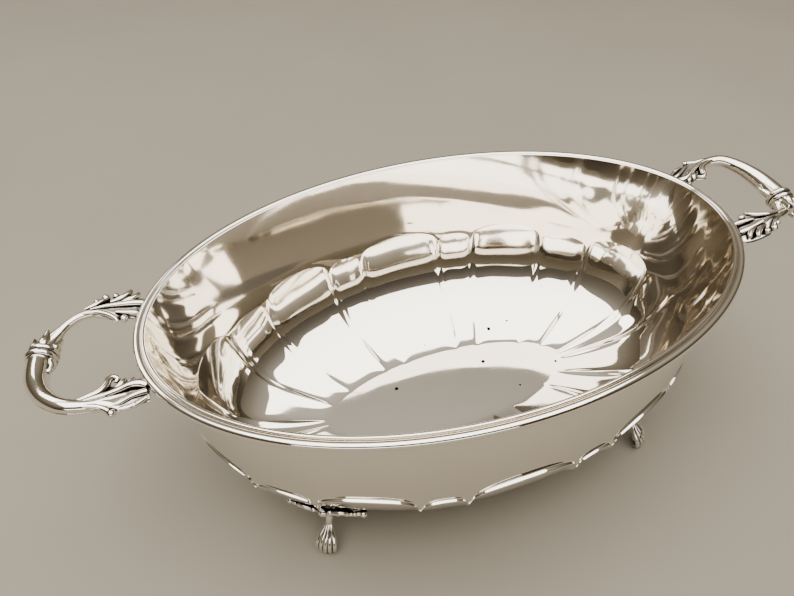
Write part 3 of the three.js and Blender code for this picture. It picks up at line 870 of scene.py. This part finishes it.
def handle(turned):
    casting = Casting(Matrix.Rotation(math.pi if turned else 0, 3, "Z"))
    for bar in (LOWER_ARM, UPPER_ARM, CALYX_CORE, INNER_CURL):
        casting.rod(raised(bar))
    # a thin line chased along the outside of the heavy arm
    ridge = []
    for x, y, rise, radius in LOWER_ARM[2:8]:
        outside = (Vector((x, y)) - LOOP_MIDDLE).normalized() * radius * 0.86
        ridge.append((x + outside.x, y + outside.y, HANDLE_Z + rise - 0.35 * radius, 0.42))
    casting.rod(ridge)
    for bar in LOWER_LEAF_RIBS + UPPER_LEAF_RIBS:
        casting.rod(raised(bar))
    for (x, y, rise), radius in LOWER_LEAF_BALLS + UPPER_LEAF_BALLS:
        casting.ball((x, y, HANDLE_Z + rise), radius)
    web(casting, LOWER_WEB)
    web(casting, UPPER_WEB)
    ring_steps = 32
    for shift, out, radius in COLLAR_RINGS:
        stops = [
            (*collar_point(shift, out, k / ring_steps * 2 * math.pi), radius)
            for k in range(ring_steps)
        ]
        casting.rod(stops, steps=1, closed=True)
    # the bud: pointed leaves, long and short in turn, that lean out above the collar
    petals = 5
    for k in range(petals):
        angle = (k + 0.1) / petals * 2 * math.pi
        tip = LONG_PETAL if k % 2 else SHORT_PETAL
        stops = [
            (*collar_point(1.2, 2.2, angle), 1.2), (*collar_point(2.8, 2.6, angle), 1.6),
            (*collar_point(0.7 * tip, 2.9, angle), 1.2), (*collar_point(tip, 3.6, angle), 0.5),
            (*collar_point(tip + 0.3, 4.0, angle), 0.15),
        ]
        casting.rod(stops)
    return casting


# ---- the feet ----


def belly_skin(bowl, angle, along, z, lift):
    """Point outside the belly, near the crease at angle: along the outline from it, at
    height z and lifted off the sheet. Millimetres."""
    length, width = bowl.shoulder_half_length / MM, bowl.shoulder_half_width / MM
    step = 0.01
    here, near = (oval(angle + a, length, width, 0) for a in (0, step))
    turned = angle + along * step / (near - here).length
    ledge = bowl.ledge_slope * (bowl.wide_bulge + bowl.step)
    top = (bowl.shoulder_height + bowl.wide_arch - ledge) / MM
    bottom = bowl.bottom_height / MM
    drop = min(max((top - z) / (top - bottom), 0), 1)
    lean = math.sin(bowl.belly_lean)
    turn_sin = lean + (1 - lean) * drop
    turn_cos = math.sqrt(1 - turn_sin**2)
    upright = turn_cos / math.cos(bowl.belly_lean)
    swell = (bowl.wide_bulge + bowl.step) / MM * upright**0.8
    inset = bowl.bottom_inset / MM
    point = oval(turned, length, width, swell - inset * (1 - upright) + lift * turn_cos)
    dished = bowl.dish / MM * drop**8
    return Vector((point.x * (1 - dished / (length - inset)),
                   point.y * (1 - dished / (width - inset)), z - lift * turn_sin))


# One wing of a foot's leaf, as bars of (along, up, lift, radius); the other mirrors it.
WING_RIBS = [
    [(0.6, 0.6, 1.2, 1.0), (4.0, 1.6, 1.3, 0.9), (8.0, 2.2, 1.2, 0.8), (11.2, 1.8, 1.0, 0.75),
     (12.6, 0.4, 0.9, 0.7), (11.8, -0.8, 1.0, 0.6), (10.7, -0.2, 1.2, 0.45)],
    [(0.8, -1.2, 1.2, 0.9), (4.0, -1.4, 1.2, 0.8), (7.2, -1.2, 1.1, 0.65),
     (9.4, -1.5, 0.9, 0.4), (10.4, -2.3, 0.8, 0.2)],
    [(0.8, 2.0, 1.2, 0.9), (3.2, 3.8, 1.2, 0.85), (6.0, 4.6, 1.0, 0.7), (7.6, 3.9, 0.9, 0.55),
     (7.2, 3.0, 1.0, 0.4)],
    [(0.5, -2.0, 1.3, 0.8), (2.6, -3.4, 1.2, 0.75), (4.8, -3.8, 1.0, 0.5),
     (6.0, -3.3, 0.9, 0.2)],
]
WING_BEADS = [
    (3.0, 0.3, 1.7, 0.72), (5.0, 0.45, 1.7, 0.66), (6.9, 0.5, 1.6, 0.6), (8.6, 0.45, 1.5, 0.54),
    (10.0, 0.9, 1.4, 0.48), (2.6, 4.3, 1.3, 0.8), (5.2, 3.9, 1.3, 0.75), (7.6, 3.3, 1.2, 0.7),
    (9.8, 2.6, 1.1, 0.65), (12.3, 1.4, 1.0, 1.05),
]
MIDDLE_BEADS = [(0, 2.5, 2.0, 1.75), (0, -0.3, 1.9, 1.2), (0, 5.4, 1.2, 0.8)]
PLATE = (11.44, 4.8)  # half width and half height of the plate behind the ribs
# Rings of that plate from its back to its front, as (share of its outline, lift).
PLATE_RINGS = [(0.3, 0.05), (0.7, 0.05), (1.0, 0.25), (0.98, 0.6), (0.8, 1.1), (0.3, 1.5)]
PLATE_SCALLOPS = 9
RELIEF = 0.5  # how much further the ribs and beads of the wings stand off the sheet
BEAD_GROWTH = 1.15


def foot(bowl, degrees, along_sign):
    """Leaf, leg and toe under the crease at that angle."""
    angle = math.radians(degrees)
    casting = Casting(Matrix.Identity(3))

    def spot(along, up, lift):
        return belly_skin(bowl, angle, along_sign * along, FOOT_LEAF_Z + up, lift)

    # the plate behind the ribs
    around = 72
    rings = []
    for reach, lift in PLATE_RINGS:
        ring = []
        for k in range(around):
            a = k / around * 2 * math.pi
            scallop = 1 - 0.2 * abs(math.sin(PLATE_SCALLOPS * (a + math.pi / 2) / 2)) ** 1.5
            pinch = 0.55 + 0.45 * abs(math.cos(a)) ** 0.7 if abs(math.cos(a)) > 0.5 else 1
            ring.append(spot(PLATE[0] * math.cos(a) * scallop * reach,
                             PLATE[1] * math.sin(a) * scallop * reach * pinch, lift))
        rings.append(ring)
    casting.skin(rings)
    for side in (1, -1):
        for bar in WING_RIBS:
            stops = [(*spot(side * along, up, lift + RELIEF), radius)
                     for along, up, lift, radius in bar]
            casting.rod(stops, steps=6)
        for along, up, lift, radius in WING_BEADS:
            casting.ball(spot(side * along, up, lift + RELIEF), radius * BEAD_GROWTH)
    for along, up, lift, radius in MIDDLE_BEADS:
        casting.ball(spot(along, up, lift), radius)

    # the leg, with a neck and a toe of five ridges spreading like a folded leaf
    root = spot(0, LEG_TOP, 2.7)
    facing = (root - spot(0, LEG_TOP, 0.3)).normalized()
    toward = Vector((math.copysign(math.cos(FOOT_SPLAY), root.x),
                     math.copysign(math.sin(FOOT_SPLAY), root.y), 0))
    across = Vector((-toward.y, toward.x, 0))

    def at(out, z, aside=0.0):
        return Vector((root.x, root.y, z)) + toward * out + across * aside

    casting.rod([
        (*(root - facing * 1.6), 1.9), (*(root + facing * 1.0), 1.55),
        (*at(2.2, root.z - 3.4), 1.25), (*at(3.5, root.z - 7.0), 1.15),
        (*at(5.3, 5.4), 1.6), (*at(6.2, 2.8), 1.75), (*at(6.4, 1.5), 1.4), (*at(6.4, 1.1), 1.05),
    ])
    casting.ball(root + facing * 1.5, 1.75)
    for k in (-2, -1, 0, 1, 2):
        back = 0.22 * k * k
        casting.rod([
            (*at(3.2 - back * 0.3, root.z - 4.6, 0.3 * k), 0.45),
            (*at(4.6 - back * 0.6, 8.6, 0.62 * k), 0.6),
            (*at(6.9 - back, 6.2, 1.15 * k), 0.74),
            (*at(8.5 - back, 3.6, 1.42 * k), 0.8),
            (*at(8.6 - back, 1.6, 1.3 * k), 0.66),
            (*at(7.4 - back, 0.6, 1.05 * k), 0.5),
        ])
    return casting


# ---- operators ----


class SILVERBOWL_OT_bowl(bpy.types.Operator):
    """Raise the fluted bowl from one sheet"""

    bl_idname = "silverbowl.bowl"
    bl_label = "Make Bowl"

    def execute(self, context):
        settings = context.scene.silver_bowl
        metal = polished_silver(settings.look)
        values = {label: getattr(settings.bowl, name) for label, name in BOWL_INPUTS}
        mesh = grown("bowl", bpy.data.meshes.new("bowl_base"), bowl_tree(),
                     {**values, "Metal": metal})
        outward(mesh, crisp=70)
        place("bowl", mesh, ["bowl_body"])
        return {"FINISHED"}


class SILVERBOWL_OT_rim(bpy.types.Operator):
    """Roll the moulding round the rim"""

    bl_idname = "silverbowl.rim"
    bl_label = "Make Rim"

    def execute(self, context):
        settings = context.scene.silver_bowl
        cast_piece("rim", rim_rolls(settings), polished_silver(settings.look),
                   ["rim_wire"], settings)
        return {"FINISHED"}


class SILVERBOWL_OT_handles(bpy.types.Operator):
    """Cast the two leaf handles"""

    bl_idname = "silverbowl.handles"
    bl_label = "Make Handles"

    def execute(self, context):
        settings = context.scene.silver_bowl
        metal = cast_silver(settings.look)
        parts = ("lower_arm", "calyx", "upper_arm", "collar", "lower_leaf", "upper_leaf")
        for side, turned in (("left", False), ("right", True)):
            cast_piece(f"handle_{side}", handle(turned), metal,
                       [f"handle_{side}_{part}" for part in parts], settings)
        return {"FINISHED"}


class SILVERBOWL_OT_feet(bpy.types.Operator):
    """Cast the four leaf feet"""

    bl_idname = "silverbowl.feet"
    bl_label = "Make Feet"

    def execute(self, context):
        settings = context.scene.silver_bowl
        metal = cast_silver(settings.look)
        turn = math.degrees(FOOT_ANGLE)
        corners = (("front_right", -turn, 1), ("back_right", turn, -1),
                   ("back_left", 180 - turn, 1), ("front_left", 180 + turn, -1))
        for corner, degrees, sign in corners:
            cast_piece(f"foot_{corner}", foot(settings.bowl, degrees, sign), metal,
                       [f"foot_{corner}_leaf", f"foot_{corner}_leg"], settings)
        return {"FINISHED"}


class SILVERBOWL_OT_stage(bpy.types.Operator):
    """Lay the floor, hang the lights and set up the camera"""

    bl_idname = "silverbowl.stage"
    bl_label = "Set Stage"

    def execute(self, context):
        stage = context.scene.silver_bowl.stage
        half = FLOOR_HALF
        mesh = bpy.data.meshes.new("floor")
        mesh.from_pydata(
            [(-half, -half, 0), (half, -half, 0), (half, half, 0), (-half, half, 0)],
            [], [(0, 1, 2, 3)])
        mesh.materials.append(floor_paint(stage))
        floor = bpy.data.objects.new("floor", mesh)
        context.scene.collection.objects.link(floor)
        hang_lights(context.scene, stage)
        aim_camera(context.scene, stage)
        return {"FINISHED"}


def hang_lights(scene, stage):
    """A large soft light overhead, smaller ones behind and in front, and a dim warm room."""
    # name, power in watts, width and depth, place and the spot it is aimed at, in metres
    cards = (
        ("overhead_panel", stage.light, (1.4, 1.12), (-0.05, -0.18, 0.95), (-0.05, -0.18, 0)),
        ("back_window", stage.window, (1.0, 0.6), (-0.72, 1.0, 1.05), (-0.12, 0, 0.07)),
        ("front_fill", stage.fill, (1.6, 0.35), (-0.35, -1.4, 0.36), (0, 0, 0.03)),
    )
    for name, power, size, spot, aimed_at in cards:
        card = bpy.data.lights.new(name, "AREA")
        card.shape = "RECTANGLE"
        card.size, card.size_y = size
        card.energy = power
        card.color = linear("#fffaf2")
        lamp = bpy.data.objects.new(name, card)
        lamp.location = spot
        beam = Vector(aimed_at) - Vector(spot)
        lamp.rotation_euler = beam.to_track_quat("-Z", "Y").to_euler()
        scene.collection.objects.link(lamp)

    world = bpy.data.worlds.new("dim_room")
    world.use_nodes = True
    tree = world.node_tree
    aim = add(tree, "ShaderNodeSeparateXYZ",
              {0: add(tree, "ShaderNodeTexCoord").outputs["Generated"]})
    ramp = add(tree, "ShaderNodeValToRGB", {0: aim.outputs[2]})
    bands = [(0.0, "#5c5242"), (0.25, "#6c6354"), (0.55, "#8f877a"), (0.8, "#b6afa4"),
             (1.0, "#d6d1c8")]
    while len(ramp.color_ramp.elements) < len(bands):
        ramp.color_ramp.elements.new(0.5)
    for element, (position, code) in zip(ramp.color_ramp.elements, bands):
        element.position = position
        element.color = (*linear(code), 1.0)
    # the side of the room behind the viewer is darker
    behind = add(tree, "ShaderNodeMapRange",
                 {"Value": aim.outputs[1], "From Min": -0.9, "From Max": 0.3,
                  "To Min": 0.4, "To Max": 1.0})
    shade = add(tree, "ShaderNodeVectorMath",
                {0: ramp.outputs[0], 1: behind.outputs[0]}, operation="MULTIPLY")
    back = tree.nodes["Background"]
    tree.links.new(shade.outputs[0], back.inputs["Color"])
    back.inputs["Strength"].default_value = 1.0
    scene.world = world
    scene.view_settings.look = "AgX - Medium High Contrast"
    # a mirror bowl reflects itself many times over before the room is seen
    scene.cycles.glossy_bounces = 12
    scene.cycles.max_bounces = 16


def aim_camera(scene, stage):
    """The camera looks down on the bowl from the front and a little to the left."""
    az, el, roll = stage.azimuth, stage.elevation, stage.roll
    back = Vector((math.sin(az) * math.cos(el), -math.cos(az) * math.cos(el), math.sin(el)))
    level = (-back).cross(Vector((0, 0, 1))).normalized()
    upward = level.cross(-back)
    right = level * math.cos(roll) + upward * math.sin(roll)
    up = upward * math.cos(roll) - level * math.sin(roll)
    looked_at = Vector((-21.92 * MM, -8.76 * MM, RIM_HIGH.z))
    lens = bpy.data.cameras.new("camera")
    lens.lens = stage.lens
    lens.clip_start = 0.01
    camera = bpy.data.objects.new("camera", lens)
    turn = Matrix((right, up, back)).transposed()
    camera.matrix_world = Matrix.Translation(looked_at + back * stage.distance) @ turn.to_4x4()
    scene.collection.objects.link(camera)
    scene.camera = camera


class SILVERBOWL_PT_panel(bpy.types.Panel):
    """Sizes and steps of the silver bowl"""

    bl_label = "Silver Bowl"
    bl_idname = "SILVERBOWL_PT_panel"
    bl_space_type = "VIEW_3D"
    bl_region_type = "UI"
    bl_category = "Silver Bowl"

    def draw(self, context):
        settings = context.scene.silver_bowl
        for group in (settings.bowl, settings.cast, settings.look, settings.stage):
            box = self.layout.box()
            for name in group.__annotations__:
                box.prop(group, name)
        for operator in OPERATORS:
            self.layout.operator(operator.bl_idname)


OPERATORS = (SILVERBOWL_OT_bowl, SILVERBOWL_OT_rim, SILVERBOWL_OT_handles,
             SILVERBOWL_OT_feet, SILVERBOWL_OT_stage)
CLASSES = (BowlSizes, CastSizes, SilverLook, StageLook, SilverBowlSettings,
           *OPERATORS, SILVERBOWL_PT_panel)


def register():
    for cls in CLASSES:
        bpy.utils.register_class(cls)
    bpy.types.Scene.silver_bowl = PointerProperty(type=SilverBowlSettings)


def unregister():
    del bpy.types.Scene.silver_bowl
    for cls in reversed(CLASSES):
        bpy.utils.unregister_class(cls)


def main():
    register()
    bpy.ops.silverbowl.bowl()
    bpy.ops.silverbowl.rim()
    bpy.ops.silverbowl.handles()
    bpy.ops.silverbowl.feet()
    bpy.ops.silverbowl.stage()


if __name__ == "__main__":
    main()
